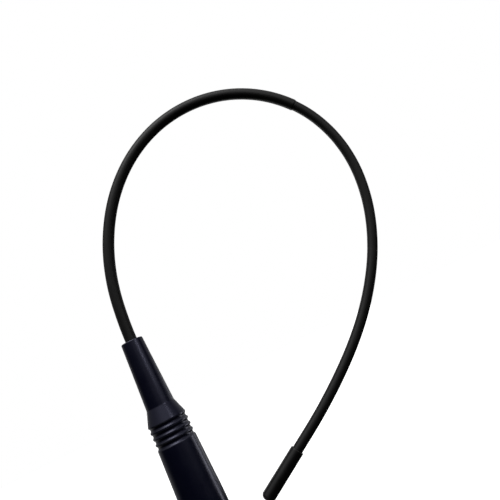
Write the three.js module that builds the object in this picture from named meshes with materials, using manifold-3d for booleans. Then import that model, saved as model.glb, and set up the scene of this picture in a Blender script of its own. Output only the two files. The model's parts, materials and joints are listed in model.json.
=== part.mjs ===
// Flexible whip aerial for a handheld radio, with a bayonet plug, its whip bent over into a loop.
// Millimetres. +Z runs up the boot's axis, the whip bends in the XZ plane towards +X, and the origin
// is the centre of the coupling collar's front face, which meets the radio.
import * as THREE from 'three';
import { mergeVertices } from 'three/addons/utils/BufferGeometryUtils.js';
import Module from 'manifold-3d';

const wasm = await Module();
wasm.setup();

// ---------------------------------------------------------------- driving dimensions

const ROUND_SIDES = 28;
const SMALL_SIDES = 12;
const WIRE_SIDES = 6;

const BOOT = {
  bottom: 15, top: 79.1,
  bodyRadius: 7.1, bodyTaperStart: 25, bodyTaperEnd: 44.6, bodyTopRadius: 6.38,
  ribRadius: 6.3, shoulder: 52.3,
  coneRadius: 4.6, coneStart: 57, rimRadius: 3.55,
  cavityRadius: 4.8, cavityTop: 47, ferruleBore: 2.9, ferruleTop: 57, whipBore: 2.05, lead: 1,
  sealPocketRadius: 6.3, sealPocketTop: 16.1, edge: 0.4,
};
const GROOVE = { centres: [45.5, 47.35, 49.25, 51.2], floorRadius: 5.92, halfFloor: 0.25, halfMouth: 0.7 };

const HUB = {
  front: 6.4, lipRadius: 4.75, lipEnd: 7.2, radius: 4.3,
  flangeRadius: 6.1, flangeStart: 11.6, flangeEnd: 14.6,
  neckRadius: 4.5, neckEnd: 25, contactBore: 3.7, contactBoreEnd: 9.6, insulatorBore: 3.1, edge: 0.35,
};
const CONTACT = {
  front: 1.4, radius: 4.05, bore: 3.35, fingersEnd: 6.2, rootRadius: 3.6, rootBore: 2.95, rootEnd: 9.5,
  slotWidth: 0.5, slotEnd: 5.2,
};
const INSULATOR = { front: 3.2, noseRadius: 2.6, noseEnd: 9.75, radius: 2.95, rear: 20.8, bore: 0.8 };
const INSULATOR_NUT = { front: 21, rear: 23.8, radius: 3, bore: 1.35 };
const PIN = {
  front: 0.8, radius: 0.675, tailStart: 24.2, tailRadius: 1, rear: 31, noseLength: 0.8, noseFlat: 0.1,
};
const GASKET = { inner: 4.15, outer: 4.7, front: 5.6, rear: 6.3 };
const SEAL = { ringRadius: 5.4, sectionRadius: 0.6, height: 15.35, sectionSides: 8 };

const COLLAR = {
  radius: 7.25, length: 13.9, mouthRadius: 5.2, bore: 4.9, boreEnd: 7.2, pocketRadius: 6.15,
  webStart: 10.45, webEnd: 11.4, webBore: 4.5, skirtBore: 6.35, edge: 0.35,
};
const BAYONET = {
  count: 2, depthRadius: 6.1, entryHalfAngle: 15, entrySteps: 3, rampEndAngle: 75, rampSteps: 9,
  rampLow: 1.6, rampHigh: 4, rampRise: 2.2, detentAngle: 67, detentRadius: 1.3, overcut: 1,
};
const RETAINING_RING = { inner: 4.4, outer: 5.9, front: 7.4, rear: 8.1, gapHalfAngle: 16, steps: 24 };
const WAVE_SPRING = {
  inner: 4.55, outer: 5.8, middle: 8.95, swing: 0.55, thickness: 0.3, waves: 3, steps: 36,
};
const THRUST_WASHER = { inner: 4.5, outer: 5.9, front: 9.8, rear: 10.3 };

const FORMER = { bottom: 29.5, top: 44, radius: 2.3, bore: 1.35, rimRadius: 3, rimThickness: 0.8 };
const COIL = { radius: 2.9, wireRadius: 0.35, bottom: 31.5, pitch: 1.5, turns: 7, stepsPerTurn: 10 };
const LEAD = {
  radius: 0.3, steps: 10, outside: 0.6, bow: 0.1, pinGap: 0.3, pinHeight: 26.8, elbow: [2.5, 27.6],
  belowFormer: 0.6, aboveFormer: 0.9, coilGap: 0.8, inward: 0.4, ferruleGap: 0.65,
};
const CAPACITOR = {
  x: -2.5, z: 27.5, radius: 1.2, thickness: 0.9, sides: 16, leadRadius: 0.2, leadSteps: 4, neckGap: 0.3,
  leads: [{ root: -3, elbow: [-3.6, 26.3], foot: -3.8 }, { root: -2, elbow: [-1.7, 26.2], foot: -1.6 }],
};
const FERRULE = {
  bottom: 46, top: 56, radius: 2.6, bore: 0.95, boreBottom: 47.5, spigotBottom: 38, spigotRadius: 1,
};

const WHIP = {
  sleeveRadius: 1.91, jacketRadius: 1.7, bore: 0.9, coreRadius: 0.6,
  sleeveSegments: 10, flexGap: 0.5, tipLength: 36, rootBottom: 56.5, coreBottom: 48,
};
const CAP = {
  length: 17.6, radius: 2.15, bore: 1.8, jacketInside: 9.6, coreInside: 13.3,
  mouthRadius: 2.04, clearance: 0.3,
  crownLength: 2, crownRadii: [1.72, 0.86], crownHeights: [1.3, 1.9],
};
// Each flex point of the whip: its distance from the one before it, and its bend in degrees.
const FLEX = [
  [4.9, 6.1], [14, 11.2], [14, 12.3], [14, 13.6], [13, 14.2], [12, 14.2],
  [11, 14.4], [11, 15.1], [11, 15.6], [11, 15.6], [11, 15.5], [11, 15.5],
  [12, 15.4], [13, 14.7], [15, 13.7], [17, 13], [20, 11.7], [24, 7.6],
];

// ---------------------------------------------------------------- materials

const finish = (color, roughness, metalness) => ({ color, roughness, metalness });
const FINISHES = {
  boot: finish(0x1b1f2c, 0.42, 0),
  sleeve: finish(0x1b1b1c, 0.55, 0),
  cap: finish(0x161617, 0.45, 0),
  nickel: finish(0xc9c6bd, 0.28, 1),
  gold: finish(0xd2a44c, 0.25, 1),
  spring: finish(0xb9bcc0, 0.35, 1),
  insulation: finish(0xf1efe8, 0.5, 0),
  nylon: finish(0xd9d2bd, 0.55, 0),
  rubber: finish(0x8d3a2c, 0.7, 0),
  copper: finish(0xb1612f, 0.3, 1),
  steel: finish(0x9a9da1, 0.35, 1),
  ceramic: finish(0xb5824a, 0.5, 0),
};

// ---------------------------------------------------------------- shape helpers

const radians = THREE.MathUtils.degToRad;

// Turns a profile of [radius, z] points about Z. The points run anticlockwise round the section.
function turned(profile, sides = ROUND_SIDES) {
  const points = profile.map(([r, z]) => new THREE.Vector2(r, z));
  return new THREE.LatheGeometry(points, sides).rotateX(Math.PI / 2);
}

function rod(radius, low, high, sides) {
  return turned([[0, low], [radius, low], [radius, high], [0, high]], sides);
}

function tube(inner, outer, low, high, sides) {
  return turned([[inner, low], [outer, low], [outer, high], [inner, high], [inner, low]], sides);
}

// A round wire along a curve.
function wire(curve, radius, steps) {
  const section = new THREE.Shape();
  for (let i = 0; i < WIRE_SIDES; i += 1) {
    const a = (2 * Math.PI * i) / WIRE_SIDES;
    const point = [radius * Math.cos(a), radius * Math.sin(a)];
    if (i === 0) section.moveTo(...point);
    else section.lineTo(...point);
  }
  section.closePath();
  return new THREE.ExtrudeGeometry(section, { steps, extrudePath: curve, bevelEnabled: false });
}

function smoothLine(...points) {
  return new THREE.CatmullRomCurve3(points.map((p) => new THREE.Vector3(...p)));
}

// A block that follows an arc about Z. bandAt(share) gives its low and high z along the way.
function arcBlock({ inner, outer, from, to, steps, bandAt }) {
  const closed = to - from === 360;
  const rings = closed ? steps : steps + 1;
  const positions = [];
  for (let i = 0; i < rings; i += 1) {
    const angle = radians(from + ((to - from) * i) / steps);
    const [low, high] = bandAt(i / steps);
    for (const [r, z] of [[inner, low], [outer, low], [outer, high], [inner, high]]) {
      positions.push(r * Math.cos(angle), r * Math.sin(angle), z);
    }
  }
  const faces = [];
  for (let i = 0; i < steps; i += 1) {
    const here = 4 * i;
    const next = 4 * ((i + 1) % rings);
    for (let j = 0; j < 4; j += 1) {
      const k = (j + 1) % 4;
      faces.push(here + j, next + j, here + k, next + k, here + k, next + j);
    }
  }
  if (!closed) {
    const last = 4 * steps;
    faces.push(0, 1, 2, 0, 2, 3, last, last + 2, last + 1, last, last + 3, last + 2);
  }
  const geometry = new THREE.BufferGeometry();
  geometry.setAttribute('position', new THREE.Float32BufferAttribute(positions, 3));
  geometry.setIndex(faces);
  return geometry;
}

function solidOf(geometry) {
  const bare = geometry.clone();
  bare.deleteAttribute('normal');
  bare.deleteAttribute('uv');
  const merged = mergeVertices(bare, 1e-4);
  return new wasm.Manifold(new wasm.Mesh({
    numProp: 3,
    vertProperties: Float32Array.from(merged.attributes.position.array),
    triVerts: Uint32Array.from(merged.index.array),
  }));
}

function geometryOf(solid) {
  const { vertProperties, triVerts } = solid.getMesh();
  const geometry = new THREE.BufferGeometry();
  geometry.setAttribute('position', new THREE.BufferAttribute(vertProperties, 3));
  geometry.setIndex(new THREE.BufferAttribute(triVerts, 1));
  return geometry;
}

function part(name, finishName, geometry) {
  geometry.computeVertexNormals();
  const mesh = new THREE.Mesh(geometry, new THREE.MeshStandardMaterial(FINISHES[finishName]));
  mesh.name = name;
  return mesh;
}

// ---------------------------------------------------------------- boot

function baseBoot() {
  const outline = [
    [BOOT.sealPocketRadius, BOOT.bottom],
    [BOOT.bodyRadius - BOOT.edge, BOOT.bottom],
    [BOOT.bodyRadius, BOOT.bottom + BOOT.edge],
    [BOOT.bodyRadius, BOOT.bodyTaperStart],
    [BOOT.bodyTopRadius, BOOT.bodyTaperEnd],
  ];
  for (const z of GROOVE.centres) {
    outline.push(
      [BOOT.ribRadius, z - GROOVE.halfMouth],
      [GROOVE.floorRadius, z - GROOVE.halfFloor],
      [GROOVE.floorRadius, z + GROOVE.halfFloor],
      [BOOT.ribRadius, z + GROOVE.halfMouth],
    );
  }
  outline.push(
    [BOOT.ribRadius, BOOT.shoulder],
    [BOOT.coneRadius, BOOT.coneStart],
    [BOOT.rimRadius, BOOT.top - BOOT.edge],
    [BOOT.rimRadius - BOOT.edge, BOOT.top],
    [BOOT.whipBore, BOOT.top],
    [BOOT.whipBore, BOOT.ferruleTop + BOOT.lead],
    [BOOT.ferruleBore, BOOT.ferruleTop],
    [BOOT.ferruleBore, BOOT.cavityTop + BOOT.lead],
    [BOOT.cavityRadius, BOOT.cavityTop],
    [BOOT.cavityRadius, BOOT.sealPocketTop],
    [BOOT.sealPocketRadius, BOOT.sealPocketTop],
    [BOOT.sealPocketRadius, BOOT.bottom],
  );
  return turned(outline);
}

function baseSeal() {
  const section = [];
  for (let i = 0; i <= SEAL.sectionSides; i += 1) {
    const a = (2 * Math.PI * (i % SEAL.sectionSides)) / SEAL.sectionSides;
    section.push([
      SEAL.ringRadius + SEAL.sectionRadius * Math.cos(a),
      SEAL.height + SEAL.sectionRadius * Math.sin(a),
    ]);
  }
  return turned(section);
}

// ---------------------------------------------------------------- plug

function connectorBody() {
  return turned([
    [HUB.contactBore, HUB.front],
    [HUB.lipRadius, HUB.front],
    [HUB.lipRadius, HUB.lipEnd],
    [HUB.radius, HUB.lipEnd],
    [HUB.radius, HUB.flangeStart],
    [HUB.flangeRadius, HUB.flangeStart],
    [HUB.flangeRadius, HUB.flangeEnd],
    [HUB.neckRadius, HUB.flangeEnd],
    [HUB.neckRadius, HUB.neckEnd - HUB.edge],
    [HUB.neckRadius - HUB.edge, HUB.neckEnd],
    [HUB.insulatorBore, HUB.neckEnd],
    [HUB.insulatorBore, HUB.contactBoreEnd],
    [HUB.contactBore, HUB.contactBoreEnd],
    [HUB.contactBore, HUB.front],
  ]);
}

// The spring fingers are what is left between two crossed saw cuts.
function outerContact() {
  const barrel = turned([
    [CONTACT.bore, CONTACT.front],
    [CONTACT.radius - HUB.edge, CONTACT.front],
    [CONTACT.radius, CONTACT.front + HUB.edge],
    [CONTACT.radius, CONTACT.fingersEnd],
    [CONTACT.rootRadius, CONTACT.fingersEnd],
    [CONTACT.rootRadius, CONTACT.rootEnd],
    [CONTACT.rootBore, CONTACT.rootEnd],
    [CONTACT.rootBore, CONTACT.fingersEnd],
    [CONTACT.bore, CONTACT.fingersEnd - HUB.edge],
    [CONTACT.bore, CONTACT.front],
  ]);
  let solid = solidOf(barrel);
  for (const angle of [45, 135]) {
    const cut = new THREE.BoxGeometry(4 * CONTACT.radius, CONTACT.slotWidth, 2 * CONTACT.slotEnd);
    solid = solid.subtract(solidOf(cut.rotateZ(radians(angle))));
  }
  return geometryOf(solid);
}

function insulator() {
  return turned([
    [INSULATOR.bore, INSULATOR.front],
    [INSULATOR.noseRadius, INSULATOR.front],
    [INSULATOR.noseRadius, INSULATOR.noseEnd],
    [INSULATOR.radius, INSULATOR.noseEnd],
    [INSULATOR.radius, INSULATOR.rear],
    [INSULATOR.bore, INSULATOR.rear],
    [INSULATOR.bore, INSULATOR.front],
  ]);
}

function centrePin() {
  return turned([
    [0, PIN.front],
    [PIN.radius / 2, PIN.front + PIN.noseFlat],
    [PIN.radius, PIN.front + PIN.noseLength],
    [PIN.radius, PIN.tailStart],
    [PIN.tailRadius, PIN.tailStart],
    [PIN.tailRadius, PIN.rear],
    [0, PIN.rear],
  ], SMALL_SIDES);
}

function couplingCollar() {
  let solid = solidOf(turned([
    [COLLAR.mouthRadius, 0],
    [COLLAR.radius - COLLAR.edge, 0],
    [COLLAR.radius, COLLAR.edge],
    [COLLAR.radius, COLLAR.length - COLLAR.edge],
    [COLLAR.radius - COLLAR.edge, COLLAR.length],
    [COLLAR.skirtBore, COLLAR.length],
    [COLLAR.skirtBore, COLLAR.webEnd],
    [COLLAR.webBore, COLLAR.webEnd],
    [COLLAR.webBore, COLLAR.webStart],
    [COLLAR.pocketRadius, COLLAR.webStart],
    [COLLAR.pocketRadius, COLLAR.boreEnd],
    [COLLAR.bore, COLLAR.boreEnd],
    [COLLAR.bore, COLLAR.edge],
    [COLLAR.mouthRadius, 0],
  ]));
  for (let i = 0; i < BAYONET.count; i += 1) {
    for (const cut of bayonetCuts((360 * i) / BAYONET.count)) {
      solid = solid.subtract(solidOf(cut));
    }
  }
  return geometryOf(solid);
}

// A lug of the socket slides in at the mouth, climbs the ramp and drops into the detent hole.
function bayonetCuts(angle) {
  const inner = COLLAR.bore - BAYONET.overcut;
  const entry = arcBlock({
    inner,
    outer: BAYONET.depthRadius,
    from: angle - BAYONET.entryHalfAngle,
    to: angle + BAYONET.entryHalfAngle,
    steps: BAYONET.entrySteps,
    bandAt: () => [-BAYONET.overcut, BAYONET.rampHigh - BAYONET.rampLow],
  });
  const ramp = arcBlock({
    inner,
    outer: BAYONET.depthRadius,
    from: angle - BAYONET.entryHalfAngle,
    to: angle + BAYONET.rampEndAngle,
    steps: BAYONET.rampSteps,
    bandAt: (share) => [
      BAYONET.rampLow + share * BAYONET.rampRise,
      BAYONET.rampHigh + share * BAYONET.rampRise,
    ],
  });
  const across = COLLAR.radius + BAYONET.overcut - inner;
  const height = (BAYONET.rampLow + BAYONET.rampHigh) / 2 + BAYONET.rampRise;
  const detent = new THREE.CylinderGeometry(BAYONET.detentRadius, BAYONET.detentRadius, across, SMALL_SIDES)
    .rotateZ(Math.PI / 2)
    .translate(inner + across / 2, 0, height)
    .rotateZ(radians(angle + BAYONET.detentAngle));
  return [entry, ramp, detent];
}

function retainingRing() {
  return arcBlock({
    inner: RETAINING_RING.inner,
    outer: RETAINING_RING.outer,
    from: RETAINING_RING.gapHalfAngle,
    to: 360 - RETAINING_RING.gapHalfAngle,
    steps: RETAINING_RING.steps,
    bandAt: () => [RETAINING_RING.front, RETAINING_RING.rear],
  });
}

function waveSpring() {
  const half = WAVE_SPRING.thickness / 2;
  return arcBlock({
    inner: WAVE_SPRING.inner,
    outer: WAVE_SPRING.outer,
    from: 0,
    to: 360,
    steps: WAVE_SPRING.steps,
    bandAt: (share) => {
      const middle = WAVE_SPRING.middle
        + WAVE_SPRING.swing * Math.cos(2 * Math.PI * WAVE_SPRING.waves * share);
      return [middle - half, middle + half];
    },
  });
}

// ---------------------------------------------------------------- matching network inside the boot

function coilFormer() {
  return turned([
    [FORMER.bore, FORMER.bottom],
    [FORMER.rimRadius, FORMER.bottom],
    [FORMER.rimRadius, FORMER.bottom + FORMER.rimThickness],
    [FORMER.radius, FORMER.bottom + FORMER.rimThickness],
    [FORMER.radius, FORMER.top - FORMER.rimThickness],
    [FORMER.rimRadius, FORMER.top - FORMER.rimThickness],
    [FORMER.rimRadius, FORMER.top],
    [FORMER.bore, FORMER.top],
    [FORMER.bore, FORMER.bottom],
  ], SMALL_SIDES);
}

class Helix extends THREE.Curve {
  getPoint(share, target = new THREE.Vector3()) {
    const angle = 2 * Math.PI * COIL.turns * share;
    return target.set(
      COIL.radius * Math.cos(angle),
      COIL.radius * Math.sin(angle),
      COIL.bottom + COIL.pitch * COIL.turns * share,
    );
  }
}

const coilTop = COIL.bottom + COIL.pitch * COIL.turns;
const leadX = FORMER.rimRadius + LEAD.outside;

function feedWire() {
  const line = smoothLine(
    [PIN.tailRadius + LEAD.pinGap, 0, LEAD.pinHeight],
    [LEAD.elbow[0], 0, LEAD.elbow[1]],
    [leadX - LEAD.bow, 0, FORMER.bottom - LEAD.belowFormer],
    [leadX, 0, COIL.bottom - LEAD.coilGap],
  );
  return wire(line, LEAD.radius, LEAD.steps);
}

function coilTailWire() {
  const line = smoothLine(
    [leadX, 0, coilTop + LEAD.coilGap],
    [leadX, 0, FORMER.top],
    [leadX - LEAD.inward, 0, FORMER.top + LEAD.aboveFormer],
    [FERRULE.radius - LEAD.inward, 0, FERRULE.bottom - LEAD.ferruleGap],
  );
  return wire(line, LEAD.radius, LEAD.steps);
}

// A ceramic disc from the centre pin to the earthed neck, with its two legs.
function matchingCapacitor() {
  const disc = new THREE.CylinderGeometry(
    CAPACITOR.radius, CAPACITOR.radius, CAPACITOR.thickness, CAPACITOR.sides,
  ).translate(CAPACITOR.x, 0, CAPACITOR.z);
  let solid = solidOf(disc);
  for (const { root, elbow, foot } of CAPACITOR.leads) {
    const line = smoothLine(
      [root, 0, CAPACITOR.z],
      [elbow[0], 0, elbow[1]],
      [foot, 0, HUB.neckEnd + CAPACITOR.neckGap],
    );
    solid = solid.add(solidOf(wire(line, CAPACITOR.leadRadius, CAPACITOR.leadSteps)));
  }
  return geometryOf(solid);
}

function whipFerrule() {
  return turned([
    [0, FERRULE.spigotBottom],
    [FERRULE.spigotRadius, FERRULE.spigotBottom],
    [FERRULE.spigotRadius, FERRULE.bottom],
    [FERRULE.radius, FERRULE.bottom],
    [FERRULE.radius, FERRULE.top],
    [FERRULE.bore, FERRULE.top],
    [FERRULE.bore, FERRULE.boreBottom],
    [0, FERRULE.boreBottom],
  ], SMALL_SIDES);
}

// ---------------------------------------------------------------- whip

function coverTube(radius, low, high) {
  return tube(WHIP.bore, radius, low, high, SMALL_SIDES);
}

function coreWire(low, high) {
  return rod(WHIP.coreRadius, low, high, SMALL_SIDES);
}

function tipCap() {
  const mouth = WHIP.tipLength - CAP.length;
  const crown = WHIP.tipLength - CAP.crownLength;
  return turned([
    [0, mouth + CAP.coreInside + CAP.clearance],
    [WHIP.bore, mouth + CAP.coreInside + CAP.clearance],
    [WHIP.bore, mouth + CAP.jacketInside + CAP.clearance],
    [CAP.bore, mouth + CAP.jacketInside + CAP.clearance],
    [CAP.bore, mouth],
    [CAP.mouthRadius, mouth],
    [CAP.radius, mouth + CAP.clearance],
    [CAP.radius, crown],
    [CAP.crownRadii[0], crown + CAP.crownHeights[0]],
    [CAP.crownRadii[1], crown + CAP.crownHeights[1]],
    [0, WHIP.tipLength],
  ], SMALL_SIDES);
}

// Each segment hangs in the group of the one below it, at the flex point between them.
function whipSegments() {
  const whip = new THREE.Group();
  whip.position.z = BOOT.top;
  let lower = whip;
  FLEX.forEach(([distance, bend], i) => {
    const segment = new THREE.Group();
    segment.position.z = distance;
    segment.rotation.y = radians(bend);
    lower.add(segment);
    lower = segment;

    const number = String(i + 1).padStart(2, '0');
    const inSleeve = i < WHIP.sleeveSegments;
    const low = WHIP.flexGap;
    const mouth = WHIP.tipLength - CAP.length;
    const last = i === FLEX.length - 1;
    const coverHigh = last ? mouth + CAP.jacketInside : FLEX[i + 1][0] - WHIP.flexGap;
    const coreHigh = last ? mouth + CAP.coreInside : coverHigh;
    const cover = inSleeve ? 'whip_sleeve' : 'whip_jacket';
    const radius = inSleeve ? WHIP.sleeveRadius : WHIP.jacketRadius;
    segment.add(part(`${cover}_${number}`, 'sleeve', coverTube(radius, low, coverHigh)));
    segment.add(part(`core_wire_${number}`, 'steel', coreWire(low, coreHigh)));
    if (last) segment.add(part('tip_cap', 'cap', tipCap()));
  });
  return whip;
}

// ---------------------------------------------------------------- assembly

const aerial = new THREE.Group();
const rootTop = BOOT.top + FLEX[0][0] - WHIP.flexGap;

aerial.add(
  part('base_boot', 'boot', baseBoot()),
  part('base_seal', 'rubber', baseSeal()),
  part('connector_body', 'nickel', connectorBody()),
  part('outer_contact', 'nickel', outerContact()),
  part('insulator', 'insulation', insulator()),
  part('insulator_nut', 'gold', tube(
    INSULATOR_NUT.bore, INSULATOR_NUT.radius, INSULATOR_NUT.front, INSULATOR_NUT.rear,
  )),
  part('centre_pin', 'gold', centrePin()),
  part('contact_gasket', 'rubber', tube(GASKET.inner, GASKET.outer, GASKET.front, GASKET.rear)),
  part('coupling_collar', 'nickel', couplingCollar()),
  part('retaining_ring', 'spring', retainingRing()),
  part('wave_spring', 'spring', waveSpring()),
  part('thrust_washer', 'spring', tube(
    THRUST_WASHER.inner, THRUST_WASHER.outer, THRUST_WASHER.front, THRUST_WASHER.rear,
  )),
  part('feed_wire', 'copper', feedWire()),
  part('matching_capacitor', 'ceramic', matchingCapacitor()),
  part('coil_former', 'nylon', coilFormer()),
  part('matching_coil', 'copper', wire(new Helix(), COIL.wireRadius, COIL.turns * COIL.stepsPerTurn)),
  part('coil_tail_wire', 'copper', coilTailWire()),
  part('whip_ferrule', 'gold', whipFerrule()),
  part('root_sleeve', 'sleeve', coverTube(WHIP.sleeveRadius, WHIP.rootBottom, rootTop)),
  part('root_core', 'steel', coreWire(WHIP.coreBottom, rootTop)),
  whipSegments(),
);

export default aerial;
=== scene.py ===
import json
import math

import bmesh
import bpy
import numpy as np
from mathutils import Matrix, Vector


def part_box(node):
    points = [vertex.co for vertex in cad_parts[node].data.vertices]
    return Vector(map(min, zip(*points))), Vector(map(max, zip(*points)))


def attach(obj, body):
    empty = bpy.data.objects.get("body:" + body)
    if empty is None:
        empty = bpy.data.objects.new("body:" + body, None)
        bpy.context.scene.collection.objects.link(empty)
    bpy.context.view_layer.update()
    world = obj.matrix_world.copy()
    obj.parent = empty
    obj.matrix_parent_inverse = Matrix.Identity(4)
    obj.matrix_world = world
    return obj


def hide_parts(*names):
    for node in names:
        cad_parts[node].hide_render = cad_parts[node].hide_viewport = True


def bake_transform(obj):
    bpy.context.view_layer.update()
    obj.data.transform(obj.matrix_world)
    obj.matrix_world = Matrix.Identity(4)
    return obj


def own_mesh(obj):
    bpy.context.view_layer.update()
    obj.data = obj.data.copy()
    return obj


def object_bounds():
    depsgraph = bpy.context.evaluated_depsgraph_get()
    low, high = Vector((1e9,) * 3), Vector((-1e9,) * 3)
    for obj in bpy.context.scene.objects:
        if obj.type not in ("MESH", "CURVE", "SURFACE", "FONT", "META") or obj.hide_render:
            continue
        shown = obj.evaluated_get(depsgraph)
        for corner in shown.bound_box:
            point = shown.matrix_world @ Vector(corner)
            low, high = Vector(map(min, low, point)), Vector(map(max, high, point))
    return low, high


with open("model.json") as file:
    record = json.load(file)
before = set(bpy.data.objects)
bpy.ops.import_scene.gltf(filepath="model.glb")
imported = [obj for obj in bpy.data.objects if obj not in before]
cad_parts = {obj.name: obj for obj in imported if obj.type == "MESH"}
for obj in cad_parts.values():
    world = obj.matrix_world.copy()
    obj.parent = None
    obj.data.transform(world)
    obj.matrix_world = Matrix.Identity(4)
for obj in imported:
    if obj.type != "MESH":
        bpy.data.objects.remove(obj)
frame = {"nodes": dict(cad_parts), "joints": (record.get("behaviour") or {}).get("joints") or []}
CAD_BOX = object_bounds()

MM = 0.001
ROUND_SIDES = 96
WHIP_SIDES = 40
TINY = 1e-7

# ---------------------------------------------------------------- camera and light

CAMERA_TARGET = Vector((0.04691, 0, 0.08894))
CAMERA_DISTANCE = 0.190
CAMERA_TILT = math.radians(10.03)
CAMERA_ROLL = math.radians(26.08)
CAMERA_LENS = 41.71
CAMERA_SENSOR = 36
CAMERA_CLIP_START = 0.01

# The camera's azimuth as seen from the boot, from -Y towards +X. A boot azimuth is counted in
# degrees from there, to the right.
BOOT_TO_CAMERA = math.radians(9.8)

PANEL_SPACING = 45
PANEL_FIRST = -20
PANEL_RISE = -6
PANEL_DISTANCE = 0.15
PANEL_SIZE = (0.11, 0.20)
PANEL_POWERS = [0.022, 0.055, 0.020, 0.045, 0.020, 0.060, 0.030, 0.060]

FLOOR_HALF = 3.0
FLOOR_GAP = 0.05 * MM
# Painted shade: the floor glows less near the object than far from it.
FLOOR_GLOW_NEAR, FLOOR_GLOW_FAR = 0.55, 0.95
SHADOW_START, SHADOW_END = 0.02, 0.12


def camera_axes():
    """The photograph's right, up and forward directions."""
    ahead = Vector((0, 1, 0))
    leaning_up = Vector((math.sin(CAMERA_ROLL), 0, math.cos(CAMERA_ROLL)))
    right = Vector((math.cos(CAMERA_ROLL), 0, -math.sin(CAMERA_ROLL)))
    forward = math.cos(CAMERA_TILT) * ahead + math.sin(CAMERA_TILT) * leaning_up
    up = math.cos(CAMERA_TILT) * leaning_up - math.sin(CAMERA_TILT) * ahead
    return right, up, forward


def make_camera():
    """The photograph's camera, which looks up at the loop a little and is rolled to one side."""
    right, up, forward = camera_axes()
    data = bpy.data.cameras.new("camera")
    data.lens = CAMERA_LENS
    data.sensor_width = CAMERA_SENSOR
    data.clip_start = CAMERA_CLIP_START
    camera = bpy.data.objects.new("camera", data)
    bpy.context.scene.collection.objects.link(camera)
    turn = Matrix((right, up, -forward)).transposed().to_4x4()
    camera.matrix_world = Matrix.Translation(CAMERA_TARGET - CAMERA_DISTANCE * forward) @ turn
    bpy.context.scene.camera = camera


def towards(sideways, upwards, back):
    """A unit direction given along the photograph's right, up and back directions."""
    right, up, forward = camera_axes()
    return (sideways * right + upwards * up - back * forward).normalized()


def softbox(name, aim, direction, distance, size, power):
    """A rectangular light that stands in a direction from what it's aimed at."""
    data = bpy.data.lights.new(name, "AREA")
    data.shape = "RECTANGLE"
    data.size, data.size_y = size
    data.energy = power
    light = bpy.data.objects.new(name, data)
    bpy.context.scene.collection.objects.link(light)
    light.location = aim + distance * direction
    light.visible_camera = False
    light.rotation_euler = (-direction).to_track_quat("-Z", "Y").to_euler()
    return light


def make_lights():
    """A large key light high on the left, and two weak strips behind the object."""
    centre = CAMERA_TARGET
    key_from = towards(-0.50, 0.80, 0.25)
    softbox("key_softbox", centre, key_from, distance=0.55, size=(0.40, 0.30), power=1.0)
    strip = {"distance": 0.30, "size": (0.05, 0.35), "power": 0.09}
    softbox("back_strip_right", centre, round_boot(172, 0), **strip)
    softbox("back_strip_left", centre, round_boot(200, -8), **strip)


def light_only(pieces, *lights):
    """Lets the lights shine on those pieces and on nothing else."""
    lit = bpy.data.collections.new(f"lit_by_{lights[0].name}")
    for piece in pieces:
        lit.objects.link(piece)
    for light in lights:
        light.light_linking.receiver_collection = lit


def light_the_boot(boot):
    """Four lights close to the boot, which the whip beside it doesn't take."""
    mouth = Vector((0, 0, BOOT_HIGH))
    strip = softbox("boot_strip", mouth, round_boot(36, 13),
                    distance=0.10, size=(0.010, 0.03), power=0.0075)
    rim = softbox("boot_rim", mouth, round_boot(125, -20),
                  distance=0.10, size=(0.02, 0.06), power=0.004)
    low = softbox("boot_low", mouth, round_boot(100, -28),
                  distance=0.25, size=(0.05, 0.20), power=0.12)
    edge = softbox("boot_edge", mouth, round_boot(-10, 78),
                   distance=0.20, size=(0.06, 0.06), power=0.06)
    light_only([boot], strip, rim, low, edge)


def light_the_plug(pieces):
    """Panels round the plug, which only the plug takes, as the dark boot needs none of them.

    They reach below the floor, which doesn't shade them, so that the metal isn't black from above.
    """
    aim = Vector((0, 0, COLLAR_HIGH / 2))
    panels = []
    for number, power in enumerate(PANEL_POWERS):
        direction = round_boot(number * PANEL_SPACING + PANEL_FIRST, PANEL_RISE)
        name = f"plug_panel_{number}"
        panels.append(softbox(name, aim, direction, PANEL_DISTANCE, PANEL_SIZE, power))
    light_only(pieces, *panels)
    for panel in panels:
        panel.light_linking.blocker_collection = panel.light_linking.receiver_collection


def round_boot(azimuth, elevation):
    """The direction at a boot azimuth, and at some degrees above the level."""
    turn = BOOT_TO_CAMERA + math.radians(azimuth)
    rise = math.radians(elevation)
    level = math.cos(rise)
    return Vector((math.sin(turn) * level, -math.cos(turn) * level, math.sin(rise)))


def right_of(azimuth):
    """The level direction that is at right angles to a boot azimuth, to the right of it."""
    return Vector((0, 0, 1)).cross(round_boot(azimuth, 0))


def left_of(azimuth):
    """The level direction that is at right angles to a boot azimuth, to the left of it."""
    return -right_of(azimuth)


def combined(nodes, links, operation, first, second):
    """Two values of the world's shader, put together."""
    maths = nodes.new("ShaderNodeMath")
    maths.operation = operation
    links.new(first, maths.inputs[0])
    links.new(second, maths.inputs[1])
    return maths.outputs["Value"]


def glow(nodes, links, direction, radiance, edges):
    """A lit region of the surroundings. Each edge is (axis, where it starts, where it is full)."""
    strength = None
    for axis, start, full in edges:
        dot = nodes.new("ShaderNodeVectorMath")
        dot.operation = "DOT_PRODUCT"
        dot.inputs[1].default_value = axis
        links.new(direction, dot.inputs[0])
        ramp = nodes.new("ShaderNodeMapRange")
        ramp.interpolation_type = "SMOOTHSTEP"
        ramp.inputs["From Min"].default_value = start
        ramp.inputs["From Max"].default_value = full
        ramp.inputs["To Max"].default_value = radiance if strength is None else 1.0
        links.new(dot.outputs["Value"], ramp.inputs["Value"])
        inside = ramp.outputs["Result"]
        strength = inside if strength is None else combined(nodes, links, "MULTIPLY", strength, inside)
    return strength


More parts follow.
